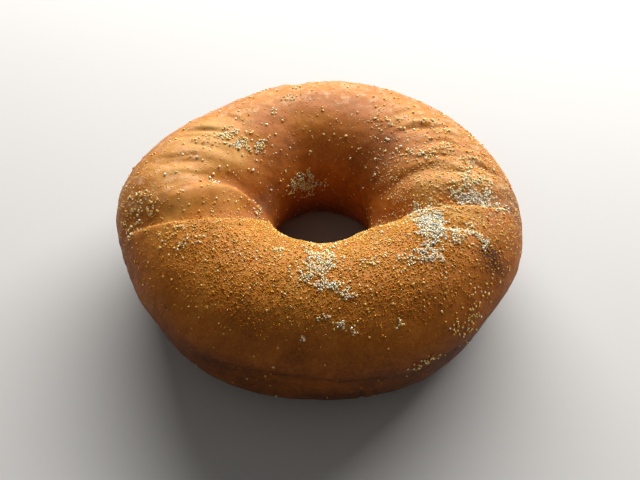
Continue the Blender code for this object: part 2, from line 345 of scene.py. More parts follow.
# %% Work out the crust from its two angles
def crust_form(ring, tube):
    """Points of the crust in millimetres and the depth of its folds, for arrays of ring and tube angles."""
    outer = OUTER_RADIUS + swell(OUTER_SWELLS, ring)
    hole = HOLE_RADIUS + swell(HOLE_SWELLS, ring)
    middle, half = (outer + hole) / 2.0, (outer - hole) / 2.0
    cosine, sine = np.cos(np.radians(tube)), np.sin(np.radians(tube))
    above = sine > 0.0
    fullness = np.where(above | (cosine < 0.0), TOP_FULLNESS, BOTTOM_FULLNESS)
    radius = middle + half * np.sign(cosine) * np.abs(cosine) ** fullness
    rise = np.where(above, HEIGHT - WIDEST_LEVEL, WIDEST_LEVEL + REST_DEPTH)
    lift = np.abs(sine) ** np.where(above, TOP_FULLNESS, BOTTOM_FULLNESS)
    level = WIDEST_LEVEL + rise * np.sign(sine) * lift + INNER_LIFT * np.clip(-cosine, 0.0, 1.0)
    below_seam = SEAM_LEVEL + swell(SEAM_SWELLS, ring) - level
    step = (SEAM_STEP + swell(STEP_SWELLS, ring)) * smooth_step(0.0, SEAM_HEIGHT, below_seam)
    step = step * smooth_step(0.0, SEAM_FADE, cosine)
    folds = sum(crease_height(crease, ring, tube, radius) for crease in FOLDS)
    fine = sum(crease_height(crease, ring, tube, radius) for crease in WRINKLES)
    dents = sum(
        size * np.sin(np.radians(ring_turns * ring + phase)) * np.cos(np.radians(tube_turns * tube + phase))
        for ring_turns, tube_turns, size, phase in UNEVENNESS
    )
    dips = sum(
        depth * np.exp(-((apart(ring, place) / width) ** 2) - (apart(tube, level_place) / level_width) ** 2)
        for place, width, level_place, level_width, depth in RIM_DIPS
    )
    relief = folds + fine + dents - dips
    radius = radius - step + relief * cosine
    level = level + relief * sine
    angle = np.radians(ring)
    points = np.stack([radius * np.cos(angle), radius * np.sin(angle), level], axis=-1)
    return points, folds + fine, below_seam


# %% [markdown]
# ## A grid of places
#
# The crust needs a mesh fine enough for the wrinkles, yet below two hundred thousand triangles. A grid of
# 460 places round the ring and 200 round the tube does both. The grid's points, its outward directions
# and the depth of its folds are kept as arrays, since the sugar is set down on the same grid later.

# %% Fill the grid
RING_STEPS = 460
TUBE_STEPS = 200
# pimples: size of a feature in mm, height in mm
PIMPLES = ((5.0, 0.16), (2.2, 0.09), (1.1, 0.035))


def normals_of(points):
    """Outward directions on a grid that closes both ways."""
    round_ring = np.roll(points, -1, axis=0) - np.roll(points, 1, axis=0)
    round_tube = np.roll(points, -1, axis=1) - np.roll(points, 1, axis=1)
    direction = np.cross(round_ring, round_tube)
    return direction / np.maximum(np.linalg.norm(direction, axis=-1, keepdims=True), 1e-9)


ring_grid, tube_grid = np.meshgrid(
    np.arange(RING_STEPS) * TURN / RING_STEPS, np.arange(TUBE_STEPS) * TURN / TUBE_STEPS, indexing="ij"
)
crust_grid, fold_grid, below_seam_grid = crust_form(ring_grid, tube_grid)
pimple_grid = np.zeros_like(fold_grid)
for feature, height in PIMPLES:
    scaled = (crust_grid / feature).reshape(-1, 3)
    values = np.array([noise.noise(point) for point in map(Vector, scaled)])
    pimple_grid += height * values.reshape(pimple_grid.shape)
crust_grid += normals_of(crust_grid) * pimple_grid[..., None]
crust_grid[..., 2] = np.maximum(crust_grid[..., 2], 0.0)
normal_grid = normals_of(crust_grid)
print("grid of", fold_grid.size, "places, folds down to", round(float(fold_grid.min()), 2), "mm")

# %% [markdown]
# ## The crust's mesh
#
# A torus could come from Blender's primitive, but spinning a circle shows better what a ring is: the
# section of the tube, turned once round the hole. The spin joins its last copy to its first. Each point
# then moves from the plain torus to its place on the grid.

# %% Spin the section and move its points onto the grid
SPIN_RADIUS = 30.0
SPIN_TUBE = 15.0

ring_mesh = bmesh.new()
section = bmesh.ops.create_circle(ring_mesh, cap_ends=False, segments=TUBE_STEPS, radius=SPIN_TUBE)
for vertex in section["verts"]:
    around, up, _ = vertex.co
    vertex.co = (SPIN_RADIUS + around, 0.0, up)
bmesh.ops.spin(
    ring_mesh,
    geom=list(ring_mesh.verts) + list(ring_mesh.edges),
    cent=(0.0, 0.0, 0.0),
    axis=(0.0, 0.0, 1.0),
    angle=2.0 * np.pi,
    steps=RING_STEPS,
    use_merge=True,
    use_duplicate=False,
)
print(len(ring_mesh.verts), "points after the spin")

crust_data = bpy.data.meshes.new("crust")
ring_mesh.to_mesh(crust_data)
ring_mesh.free()
spun = np.zeros(len(crust_data.vertices) * 3)
crust_data.vertices.foreach_get("co", spun)
spun = spun.reshape(-1, 3)
spun_ring = np.degrees(np.arctan2(spun[:, 1], spun[:, 0]))
spun_tube = np.degrees(np.arctan2(spun[:, 2], np.hypot(spun[:, 0], spun[:, 1]) - SPIN_RADIUS))
ring_index = np.rint(spun_ring * RING_STEPS / TURN).astype(int) % RING_STEPS
tube_index = np.rint(spun_tube * TUBE_STEPS / TURN).astype(int) % TUBE_STEPS
crust_data.vertices.foreach_set("co", (crust_grid[ring_index, tube_index] * MM).ravel())
crust_data.update()

crust = bpy.data.objects.new("crust", crust_data)
bpy.context.scene.collection.objects.link(crust)
outward = bmesh.new()
outward.from_mesh(crust_data)
bmesh.ops.recalc_face_normals(outward, faces=outward.faces)
outward.to_mesh(crust_data)
outward.free()
crust_data.shade_smooth()
print("crust:", len(crust_data.vertices), "points,", len(crust_data.polygons), "faces")

# %% [markdown]
# ## Where the crust is brown, and where the sugar lies
#
# Browning follows how long the oil touched the dough: the flanks and the underside are darkest, the top
# is lighter, and the lips of the folds stay pale because they opened late. Shade is painted over this in
# the fold valleys, in the hole on top of its browning, and in a line under the seam's step; one spot is
# painted shade above the right fold and one a painted highlight on the wedge. The sugar was poured from
# above, so it lies on the upper crust, thickest on the near side, and gathers in the fold on the right. On
# the far half some of it melted into a pale frosting, which also carries a painted sheen of the light
# behind. Each of the three is one number from 0 to 1 for every place on the grid, stored on the mesh as an
# attribute.


# %% Work out the dusting, and the frosting with its painted sheen
# how thickly dust lies all over, on the near side, on the right and on the left
THIN_DUST = 0.03
NEAR_DUST = 0.94
RIGHT_DUST = 0.24
LEFT_DUST = 0.14


def bump_at(angle, centre, width):
    """1 at the centre and falling to 0 over the width, in degrees round the turn."""
    return np.exp(-((apart(angle, centre) / width) ** 2))


def dusting(ring, tube):
    """How thickly fine sugar lies, 0 to 1."""
    near_side = smooth_step(196.0, 212.0, ring % TURN) * (1.0 - smooth_step(330.0, 352.0, ring % TURN))
    upper = smooth_step(34.0, 78.0, tube) * (1.0 - smooth_step(150.0, 172.0, tube))
    front = near_side * upper
    before_hole = 1.0 - smooth_step(120.0, 160.0, tube)
    light = smooth_step(0.0, 60.0, tube) * before_hole
    right = bump_at(ring, 2.0, 34.0) * smooth_step(8.0, 46.0, tube) * before_hole
    left = bump_at(ring, 184.0, 16.0) * bump_at(tube, 40.0, 24.0)
    thickness = THIN_DUST * light + NEAR_DUST * front + RIGHT_DUST * right + LEFT_DUST * left
    return np.clip(thickness, 0.0, 1.0)


def frosting(ring, tube):
    """How much pale frosting of melted sugar and painted sheen shows on the far half, 0 to 1."""
    far_side = 1.0 - smooth_step(178.0, 196.0, ring % TURN) * (1.0 - smooth_step(346.0, 359.0, ring % TURN))
    outside = smooth_step(-6.0, 44.0, apart(tube, 0.0)) * (1.0 - smooth_step(86.0, 108.0, tube % TURN))
    return far_side * outside


# %% List the brown spots, and spots of painted shade and light
# ring angle, tube angle, reach along the ring and the tube in mm, how much darker, or paler below 0
BROWN_SPOTS_AND_PAINTED_LIGHT = (
    # a brown streak beside the long heap, painted shade above the deep fold, and other spots of the right
    # side
    (331.5, 45, 3.0, 5.0, 0.52),
    (348, 58, 3.2, 2.6, 0.20),
    # painted shade above the deep fold on the right
    (352, 95, 3.0, 1.8, 0.16),
    (341, 84, 2.6, 3.4, -0.14),
    (4, 78, 5.0, 9.0, -0.12),
    (356, 143, 3.0, 4.0, -0.10),
    (346, 110, 3.0, 5.0, -0.12),
    (1, 35, 2.6, 4.0, 0.20),
    (355, 42, 2.6, 4.0, 0.16),
    (356, 105, 4.0, 4.0, -0.12),
    (351, 138, 4.0, 4.0, -0.10),
    # the back
    (70, 116, 20.0, 6.0, 0.16),
    (90, 150, 14.0, 4.0, -0.12),
    (66, 134, 4.0, 3.0, -0.10),
    (86, 92, 20.0, 5.0, 0.22),
    (122, 100, 7.0, 5.0, 0.20),
    (40, 113, 6.0, 6.0, 0.18),
    (34, 132, 8.0, 9.0, 0.12),
    (129, 128, 6.0, 7.0, 0.14),
    # the left side
    (165, 76, 2.4, 3.4, 0.10),
    (176, 52, 3.0, 3.0, 0.10),
    (189, 62, 2.6, 6.0, 0.08),
    # a painted highlight on the lit ridge of the wedge
    (193, 124, 2.2, 3.0, -0.12),
    (194, 80, 2.8, 9.0, -0.12),
    (156, 72, 12.0, 9.0, -0.08),
    (172, 116, 3.0, 4.0, 0.12),
    (168, 158, 5.0, 4.0, 0.16),
    (190, 42, 5.0, 5.0, -0.14),
    (196, 66, 5.0, 5.0, -0.12),
    (174, 48, 4.0, 4.0, -0.10),
    # the near side
    (233, 36, 9.0, 5.0, -0.06),
    (267, 23, 6.0, 4.0, 0.12),
    (278, 38, 5.0, 4.0, -0.10),
    (292, 34, 8.0, 5.0, -0.18),
    (307, 50, 6.0, 3.5, 0.12),
    (309, 82, 5.0, 4.0, -0.14),
    (291, 15, 9.0, 6.0, 0.20),
    (272, 36, 8.0, 5.0, -0.08),
    (272, -3, 9.0, 3.0, -0.12),
    (238, 8, 12.0, 6.0, 0.20),
    (300, -10, 12.0, 5.0, 0.14),
)
print(len(BROWN_SPOTS_AND_PAINTED_LIGHT), "brown and pale spots")

# %% Work out the browning with its painted shade, and store all three on the mesh
# how brown the plain crust is, and how much browner each region is, or paler below 0
PLAIN_BROWN = 0.32
FLANK_BROWN = 0.30
# partly browning and partly painted shade: how much darker the hole is
HOLE_BROWN_AND_SHADE = 0.34
UNDER_BROWN = 0.16
FOOT_BROWN = 0.24
# painted shade: how dark the line under the seam's step is made
SEAM_PAINTED_SHADE = 0.12
LIP_BROWN = -0.28
# painted shade: how much darker the fold valleys are made
VALLEY_PAINTED_SHADE = 0.05
BACK_LEFT_BROWN = -0.12
# the painted shade line in the undercut below the seam's step: how far below its top and how wide, in mm
SEAM_SHADE_DEPTH = 1.4
SEAM_SHADE_WIDTH = 0.8


def browning(ring, tube, fold, below_seam):
    """How dark the crust fried, with painted shade and a painted highlight added, 0 to 1."""
    tube_radius = (OUTER_RADIUS - HOLE_RADIUS) / 2.0
    radius = HOLE_RADIUS + tube_radius * (1.0 + np.cos(np.radians(tube)))
    spots = 0.0
    for place, level_place, ring_reach, tube_reach, amount in BROWN_SPOTS_AND_PAINTED_LIGHT:
        across = np.radians(apart(ring, place)) * radius / ring_reach
        along = np.radians(apart(tube, level_place)) * tube_radius / tube_reach
        spots = spots + amount * np.exp(-(across**2) - along**2)
    cosine, sine = np.cos(np.radians(tube)), np.sin(np.radians(tube))
    outside = smooth_step(0.0, SEAM_FADE, cosine)
    flank = smooth_step(0.15, 1.0, cosine) * FLANK_BROWN
    # the hole: partly browning, partly painted shade of the recess
    hole = smooth_step(0.35, 1.0, -cosine) * HOLE_BROWN_AND_SHADE
    under = smooth_step(0.0, 0.9, -sine) * UNDER_BROWN
    foot = smooth_step(-SEAM_HEIGHT, SEAM_HEIGHT, below_seam) * outside * FOOT_BROWN
    # a dark line painted as the shade under the seam's step
    seam = np.exp(-(((below_seam - SEAM_SHADE_DEPTH) / SEAM_SHADE_WIDTH) ** 2)) * outside * SEAM_PAINTED_SHADE
    lip = np.clip(fold, 0.0, 0.8) * LIP_BROWN
    # painted shade in the fold valleys
    valley = np.clip(-fold / 3.0, 0.0, 1.0) * VALLEY_PAINTED_SHADE
    back_left = bump_at(ring, 145.0, 45.0) * smooth_step(0.0, 0.8, sine) * BACK_LEFT_BROWN
    regions = flank + hole + under + foot + seam + lip + valley + back_left
    return np.clip(PLAIN_BROWN + regions + spots, 0.0, 1.0)


browning_and_painted_light_grid = browning(ring_grid, tube_grid, fold_grid, below_seam_grid)
dusting_grid = dusting(ring_grid, tube_grid)
frosting_and_sheen_grid = frosting(ring_grid, tube_grid)
for title, grid in (("browning", browning_and_painted_light_grid), ("dusting", dusting_grid), ("frosting", frosting_and_sheen_grid)):
    kept = crust_data.attributes.new(title, "FLOAT", "POINT")
    kept.data.foreach_set("value", grid[ring_index, tube_index].astype(np.float32))
    print(title, "from", round(float(grid.min()), 2), "to", round(float(grid.max()), 2))


# %% [markdown]
# ## Shader maths in Python
#
# A material is a net of nodes. Drawing it link by link hides the sums in it, so a small class stands for
# one socket and lets Python's own operators add the Math nodes. Colours have their own mixing, because a
# Math node would turn them grey.


# %% Wrap a socket
class Wire:
    """The output of a node, with Python's arithmetic."""

    def __init__(self, finish, socket):
        self.finish = finish
        self.socket = socket

    def maths(self, operation, first, second):
        return self.finish.node("ShaderNodeMath", {"operation": operation}, {0: first, 1: second})

    def __add__(self, other):
        return self.maths("ADD", self, other)

    def __sub__(self, other):
        return self.maths("SUBTRACT", self, other)

    def __rsub__(self, other):
        return self.maths("SUBTRACT", other, self)

    def __mul__(self, other):
        return self.maths("MULTIPLY", self, other)

    def clipped(self):
        """The value kept between 0 and 1."""
        return self.finish.node("ShaderNodeClamp", {}, {"Value": self})

    def between(self, low, high):
        """0 below low and 1 above high, with an ease between them."""
        settings = {"interpolation_type": "SMOOTHSTEP"}
        inputs = {"Value": self, "From Min": low, "From Max": high}
        return self.finish.node("ShaderNodeMapRange", settings, inputs)

    __radd__ = __add__
    __rmul__ = __mul__


# %% Build a material
class Finish:
    """A Principled material that is built up node by node."""

    def __init__(self, name):
        self.material = bpy.data.materials.new(name)
        self.material.use_nodes = True
        self.tree = self.material.node_tree
        self.shader = self.tree.nodes["Principled BSDF"]

    def feed(self, socket, value):
        """Links a wire into a socket, or sets the socket's own value."""
        if isinstance(value, Wire):
            self.tree.links.new(value.socket, socket)
        else:
            socket.default_value = value

    def node(self, kind, settings, inputs, output=0):
        """Adds a node: its settings first, a ramp's stops among them, then the values of its sockets."""
        made = self.tree.nodes.new(kind)
        for key, value in settings.items():
            if key == "stops":
                ramp = made.color_ramp
                while len(ramp.elements) < len(value):
                    ramp.elements.new(0.5)
                for element, (place, colour) in zip(ramp.elements, value):
                    element.position = place
                    element.color = (*colour, 1.0)
            else:
                setattr(made, key, value)
        for key, value in inputs.items():
            self.feed(made.inputs[key], value)
        return Wire(self, made.outputs[output])

    def noise(self, feature, detail=2.0, roughness=0.5):
        """Noise from 0 to 1 with features so many millimetres wide, on the object's own coordinates."""
        place = self.node("ShaderNodeTexCoord", {}, {}, "Object")
        inputs = {"Vector": place, "Scale": 1.0 / (feature * MM), "Detail": detail, "Roughness": roughness}
        return self.node("ShaderNodeTexNoise", {}, inputs)

    def attribute(self, title):
        """A number stored on the mesh."""
        return self.node("ShaderNodeAttribute", {"attribute_name": title}, {}, "Fac")

    def mix(self, share, first, second):
        """Two colours mixed by a share from 0 to 1."""
        made = self.tree.nodes.new("ShaderNodeMix")
        made.data_type = "RGBA"
        for index, value in ((0, share), (6, first), (7, second)):
            self.feed(made.inputs[index], (*value, 1.0) if isinstance(value, tuple) else value)
        return Wire(self, made.outputs[2])

    def surface(self, **inputs):
        """Feeds the shader's own sockets, with _ for the spaces in their names."""
        for key, value in inputs.items():
            self.feed(self.shader.inputs[key.replace("_", " ")], value)


# %% [markdown]
# ## The crust's finish
#
# Fried crust goes from straw through gold and chestnut to a brown that is nearly black. A colour ramp
# over the browning, which also carries painted shade and a painted highlight, gives that order, and three
# sizes of noise break it up: patches over a centimetre wide, mottling of two millimetres and pores of half
# a millimetre. Where sugar lies, dust too fine to model shows as golden flecks, and melted sugar as a pale
# haze in patches that is also a painted sheen of the light behind. Crust is a little greasy, so it has a
# soft shine, and the bump holds only what is finer than the mesh.

# %% Make the crust's material
# how wide the features of each noise are in mm, and how far three of them move the browning
PATCH_WIDTH = 14.0
MOTTLING_WIDTH = 2.4
PORE_WIDTH = 0.55
FLECK_WIDTH = 0.34
FROST_AND_SHEEN_WIDTH = 2.4
PATCH_SHARE = 0.55
MOTTLING_SHARE = 0.46
PORE_SHARE = 0.34
FLECK_COLOUR = (0.68, 0.26, 0.028)
FLECK_SHARE = 0.7
# the pale colour of melted sugar, which also stands for a painted sheen on the far rim
FROST_AND_SHEEN_COLOUR = (0.84, 0.51, 0.27)
FROST_AND_SHEEN_SHARE = 0.72
BUMP_DEPTH = 0.16
CRUST_SHINE = 0.17

crust_finish = Finish("crust")
patches = crust_finish.noise(PATCH_WIDTH, 3.0)
mottling = crust_finish.noise(MOTTLING_WIDTH, 5.0, 0.7)
pores = crust_finish.noise(PORE_WIDTH, 2.0, 0.6)
flecks = crust_finish.noise(FLECK_WIDTH, 1.0)
# browning with painted shade in the fold valleys, the hole and under the seam, and painted spots
brown = crust_finish.attribute("browning") + (patches - 0.5) * PATCH_SHARE
brown = (brown + (mottling - 0.5) * MOTTLING_SHARE + (pores - 0.5) * PORE_SHARE).clipped()
CRUST_STOPS = (
    (0.0, (0.68, 0.375, 0.095)),
    (0.25, (0.58, 0.225, 0.028)),
    (0.5, (0.45, 0.132, 0.012)),
    (0.75, (0.24, 0.064, 0.007)),
    (1.0, (0.09, 0.024, 0.005)),
)
crust_colour = crust_finish.node("ShaderNodeValToRGB", {"stops": CRUST_STOPS}, {"Fac": brown})
dust_share = (crust_finish.attribute("dusting") + 0.16) * flecks.between(0.54, 0.66) * FLECK_SHARE
crust_colour = crust_finish.mix(dust_share, crust_colour, FLECK_COLOUR)
# pale patches on the far rim: melted sugar and painted sheen
frost_and_sheen = crust_finish.noise(FROST_AND_SHEEN_WIDTH, 5.0, 0.72).between(0.44, 0.72)
frost_and_sheen = frost_and_sheen * crust_finish.attribute("frosting")
crust_colour = crust_finish.mix(frost_and_sheen * FROST_AND_SHEEN_SHARE, crust_colour, FROST_AND_SHEEN_COLOUR)
crust_height = mottling * 0.5 + pores * 0.5 + dust_share * 0.8 + frost_and_sheen * 0.6
crust_normal = crust_finish.node(
    "ShaderNodeBump", {}, {"Strength": 0.45, "Distance": BUMP_DEPTH * MM, "Height": crust_height}
)
crust_finish.surface(
    Base_Color=crust_colour,
    Roughness=mottling * 0.22 + 0.44,
    Normal=crust_normal,
    Specular_IOR_Level=CRUST_SHINE,
)
crust_data.materials.append(crust_finish.material)
print("crust finish:", len(crust_finish.tree.nodes), "nodes")

# %% [markdown]
# ## Setting sugar down on the crust
#
# Granulated sugar is cubes with worn corners, mostly 0.2 to 0.5 mm wide here. A particle system would
# scatter them, but it doesn't survive the export, so each kind of grain is one joined mesh made from
# arrays. A place is drawn on the grid, kept or thrown away by how thickly sugar lies there, and a small
# solid is set down on it, turned at random and a little sunk.


# %% Find places on the crust
def on_crust(ring, tube):
    """Points and outward directions of the crust between the grid's places."""
    across = (ring % TURN) * RING_STEPS / TURN
    along = (tube % TURN) * TUBE_STEPS / TURN
    low_ring, low_tube = np.floor(across).astype(int), np.floor(along).astype(int)
    share_ring, share_tube = (across - low_ring)[:, None], (along - low_tube)[:, None]

    def blended(grid):
        first = grid[low_ring % RING_STEPS, low_tube % TUBE_STEPS] * (1.0 - share_ring)
        first = first + grid[(low_ring + 1) % RING_STEPS, low_tube % TUBE_STEPS] * share_ring
        second = grid[low_ring % RING_STEPS, (low_tube + 1) % TUBE_STEPS] * (1.0 - share_ring)
        second = second + grid[(low_ring + 1) % RING_STEPS, (low_tube + 1) % TUBE_STEPS] * share_ring
        return first * (1.0 - share_tube) + second * share_tube

    normals = blended(normal_grid)
    return blended(crust_grid), normals / np.linalg.norm(normals, axis=1, keepdims=True)


# %% Join grains into one mesh
# each side of a grain is stretched by its own factor, and each corner strays by a share of the width
GRAIN_STRETCH = (0.72, 1.2)
CORNER_STRAY = 0.09


def random_turns(draw, number):
    """Random rotation matrices, one for each grain."""
    quaternions = draw.normal(size=(number, 4))
    w, x, y, z = (quaternions / np.linalg.norm(quaternions, axis=1, keepdims=True)).T
    return np.stack(
        [
            np.stack([1 - 2 * (y * y + z * z), 2 * (x * y - z * w), 2 * (x * z + y * w)], axis=-1),
            np.stack([2 * (x * y + z * w), 1 - 2 * (x * x + z * z), 2 * (y * z - x * w)], axis=-1),
            np.stack([2 * (x * z - y * w), 2 * (y * z + x * w), 1 - 2 * (x * x + y * y)], axis=-1),
        ],
        axis=1,
    )


def joined_grains(name, pattern, centres, widths, tones, draw):
    """One mesh of many grains, each a turned and stretched copy of the pattern, with its tone stored."""
    corners, faces = pattern
    number = len(centres)
    stretch = draw.uniform(*GRAIN_STRETCH, size=(number, 1, 3)) * widths[:, None, None]
    stray = draw.uniform(-CORNER_STRAY, CORNER_STRAY, size=(number, len(corners), 3))
    shaped = (corners[None] + stray) * stretch
    turned = np.einsum("nij,nkj->nki", random_turns(draw, number), shaped)
    points = (turned + centres[:, None]) * MM
    every_face = faces[None] + (np.arange(number) * len(corners))[:, None, None]
    data = bpy.data.meshes.new(name)
    data.vertices.add(number * len(corners))
    data.vertices.foreach_set("co", points.astype(np.float32).ravel())
    data.loops.add(every_face.size)
    data.loops.foreach_set("vertex_index", every_face.astype(np.int32).ravel())
    data.polygons.add(number * len(faces))
    data.polygons.foreach_set("loop_start", np.arange(0, every_face.size, 3, dtype=np.int32))
    data.update(calc_edges=True)
    kept = data.attributes.new("tone", "FLOAT", "POINT")
    kept.data.foreach_set("value", np.repeat(tones, len(corners)).astype(np.float32))
    made = bpy.data.objects.new(name, data)
    bpy.context.scene.collection.objects.link(made)
    print(name + ":", number, "grains,", len(data.polygons), "triangles")
    return made


# %% Make the patterns of the grains
def pattern_of(make):
    """Corners and faces of one small solid made by a bmesh operator."""
    shape = bmesh.new()
    make(shape)
    bmesh.ops.triangulate(shape, faces=shape.faces)
    corners = np.array([vertex.co for vertex in shape.verts])
    faces = np.array([[vertex.index for vertex in face.verts] for face in shape.faces])
    shape.free()
    return corners, faces


def cube_pattern(shape):
    """One crystal a unit wide."""
    bmesh.ops.create_cube(shape, size=1.0)


def nugget_pattern(shape):
    """A cube with two worn corners is close to an octahedron at this size."""
    bmesh.ops.create_cone(shape, cap_ends=True, segments=4, radius1=0.62, radius2=0.0, depth=0.6)
    lower = [vertex for vertex in shape.verts if vertex.co.z < 0.0]
    peak = shape.verts.new((0.0, 0.0, -0.9))
    base = [face for face in shape.faces if len(face.verts) == 4]
    bmesh.ops.delete(shape, geom=base, context="FACES_ONLY")
    rim = [edge for edge in shape.edges if edge.verts[0] in lower and edge.verts[1] in lower]
    for edge in rim:
        shape.faces.new((edge.verts[0], edge.verts[1], peak))
    bmesh.ops.recalc_face_normals(shape, faces=shape.faces)
    shape.verts.index_update()


CUBE = pattern_of(cube_pattern)
NUGGET = pattern_of(nugget_pattern)
print("a crystal has", len(CUBE[1]), "triangles and a nugget", len(NUGGET[1]))

# %% [markdown]
# ## Dust, crystals and clumps
#
# Three kinds of sugar show. Fine dust makes the near side look sandy and takes the gold of the crust
# under it. Larger crystals lie singly, a few on the flanks too. Clumps are where the sugar was damp:
# dozens of crystals piled on each other, white because they hide the crust. The clumps' outlines are
# broken up by noise, since an even oval would look painted on.

# %% Draw places where sugar lies
# places are drawn in batches between two tube angles, and fewer are kept where the ring is narrow
AREA_RADIUS = OUTER_RADIUS + 1.0
BATCH = 60000
LOWEST_TUBE = -60.0
HIGHEST_TUBE = 240.0


def scattered(draw, number, thickness):
    """Ring and tube angles of so many places, thicker where the function says, and even over the area."""
    rings, tubes = [], []
    found = 0
    while found < number:
        ring = draw.uniform(0.0, TURN, BATCH)
        tube = draw.uniform(LOWEST_TUBE, HIGHEST_TUBE, BATCH)
        points, _ = on_crust(ring, tube)
        area = np.hypot(points[:, 0], points[:, 1]) / AREA_RADIUS
        keep = draw.random(BATCH) < area * thickness(ring, tube)
        rings.append(ring[keep])
        tubes.append(tube[keep])
        found += int(keep.sum())
    return np.concatenate(rings)[:number], np.concatenate(tubes)[:number]


def patchiness(points, feature, low, high):
    """0 in the gaps and 1 in the patches of a noise with features so many millimetres wide."""
    values = np.array([noise.noise(Vector(point)) for point in points / feature])
    return smooth_step(low, high, values)


# %% Scatter the fine dust
dust_draw = np.random.default_rng(21)
DUST_NUMBER = 23400
DUST_WIDTHS = (0.17, 0.34)
# how far a grain's middle stands off the crust, as a share of its width
DUST_LIFT = 0.06
# tones from 0 to 1: on the outer side, how much paler past the top, how much paler off the near side as
# painted light, and the scatter
DUST_TONE = 0.12
DUST_TONE_RISE = 0.14
DUST_FAR_PAINTED_LIGHT = 0.34
DUST_TONE_SPREAD = 0.09


def dust_thickness(ring, tube):
    """The share of drawn places that keep a grain of dust."""
    return dusting(ring, tube % TURN) * 0.96 + 0.008 * smooth_step(-40.0, 20.0, tube)


dust_ring, dust_tube = scattered(dust_draw, DUST_NUMBER, dust_thickness)
dust_width = dust_draw.uniform(*DUST_WIDTHS, DUST_NUMBER)
dust_points, dust_normals = on_crust(dust_ring, dust_tube)
dust_centres = dust_points + dust_normals * (dust_width * DUST_LIFT)[:, None]
dust_tone = DUST_TONE + DUST_TONE_RISE * smooth_step(84.0, 116.0, dust_tube)
dust_tone += dust_draw.normal(0.0, DUST_TONE_SPREAD, DUST_NUMBER)
# the dust away from the near side is painted paler: painted light for the light behind shining through it
dust_far = 1.0 - smooth_step(185.0, 215.0, dust_ring) * (1.0 - smooth_step(325.0, 350.0, dust_ring))
dust_tone = np.clip(dust_tone + DUST_FAR_PAINTED_LIGHT * dust_far, 0.0, 1.0)
sugar_dust = joined_grains("sugar_dust", NUGGET, dust_centres, dust_width, dust_tone, dust_draw)

# %% Scatter single crystals
crystal_draw = np.random.default_rng(34)
CRYSTAL_NUMBER = 1700
CRYSTAL_WIDTHS = (0.18, 0.38)
CRYSTAL_LIFT = 0.22
CRYSTAL_TONE = 0.30
CRYSTAL_TONE_RISE = 0.24
# painted light: how much paler the crystals on the far half are
CRYSTAL_FAR_PAINTED_LIGHT = 0.22
CRYSTAL_TONE_SPREAD = 0.20
CRYSTAL_FAR_GROWTH = 0.35


def crystal_thickness(ring, tube):
    """The share of drawn places that keep a crystal."""
    turned = apart(tube, 0.0)
    spread = smooth_step(10.0, 80.0, turned) * (1.0 - smooth_step(130.0, 175.0, tube)) + 0.06
    right = bump_at(ring, 350.0, 46.0) * smooth_step(-10.0, 40.0, turned)
    back = smooth_step(20.0, 60.0, ring % TURN) * (1.0 - smooth_step(175.0, 205.0, ring % TURN))
    lying = 0.30 * spread * (1.0 - 0.78 * back) + 0.30 * right * spread + 0.14 * dusting(ring, tube)
    inside = smooth_step(-40.0, 10.0, apart(ring, 0.0)) * smooth_step(112.0, 132.0, tube)
    return np.clip(lying * (1.0 - 0.65 * inside), 0.0, 1.0)


crystal_ring, crystal_tube = scattered(crystal_draw, CRYSTAL_NUMBER, crystal_thickness)
crystal_width = crystal_draw.uniform(*CRYSTAL_WIDTHS, CRYSTAL_NUMBER)
crystal_points, crystal_normals = on_crust(crystal_ring, crystal_tube)
crystal_centres = crystal_points + crystal_normals * (crystal_width * CRYSTAL_LIFT)[:, None]
crystal_tone = CRYSTAL_TONE + CRYSTAL_TONE_RISE * smooth_step(50.0, 100.0, crystal_tube)
# on the far half there are fewer and larger crystals, painted paler as painted light shining through them
crystal_far = smooth_step(10.0, 40.0, crystal_ring) * (1.0 - smooth_step(175.0, 205.0, crystal_ring))
crystal_width = crystal_width * (1.0 + CRYSTAL_FAR_GROWTH * crystal_far)
crystal_tone = crystal_tone + CRYSTAL_FAR_PAINTED_LIGHT * crystal_far
crystal_tone = crystal_tone + crystal_draw.normal(0.0, CRYSTAL_TONE_SPREAD, CRYSTAL_NUMBER)
crystal_tone = np.clip(crystal_tone, 0.0, 1.0)
sugar_crystals = joined_grains(
    "sugar_crystals", CUBE, crystal_centres, crystal_width, crystal_tone, crystal_draw
)

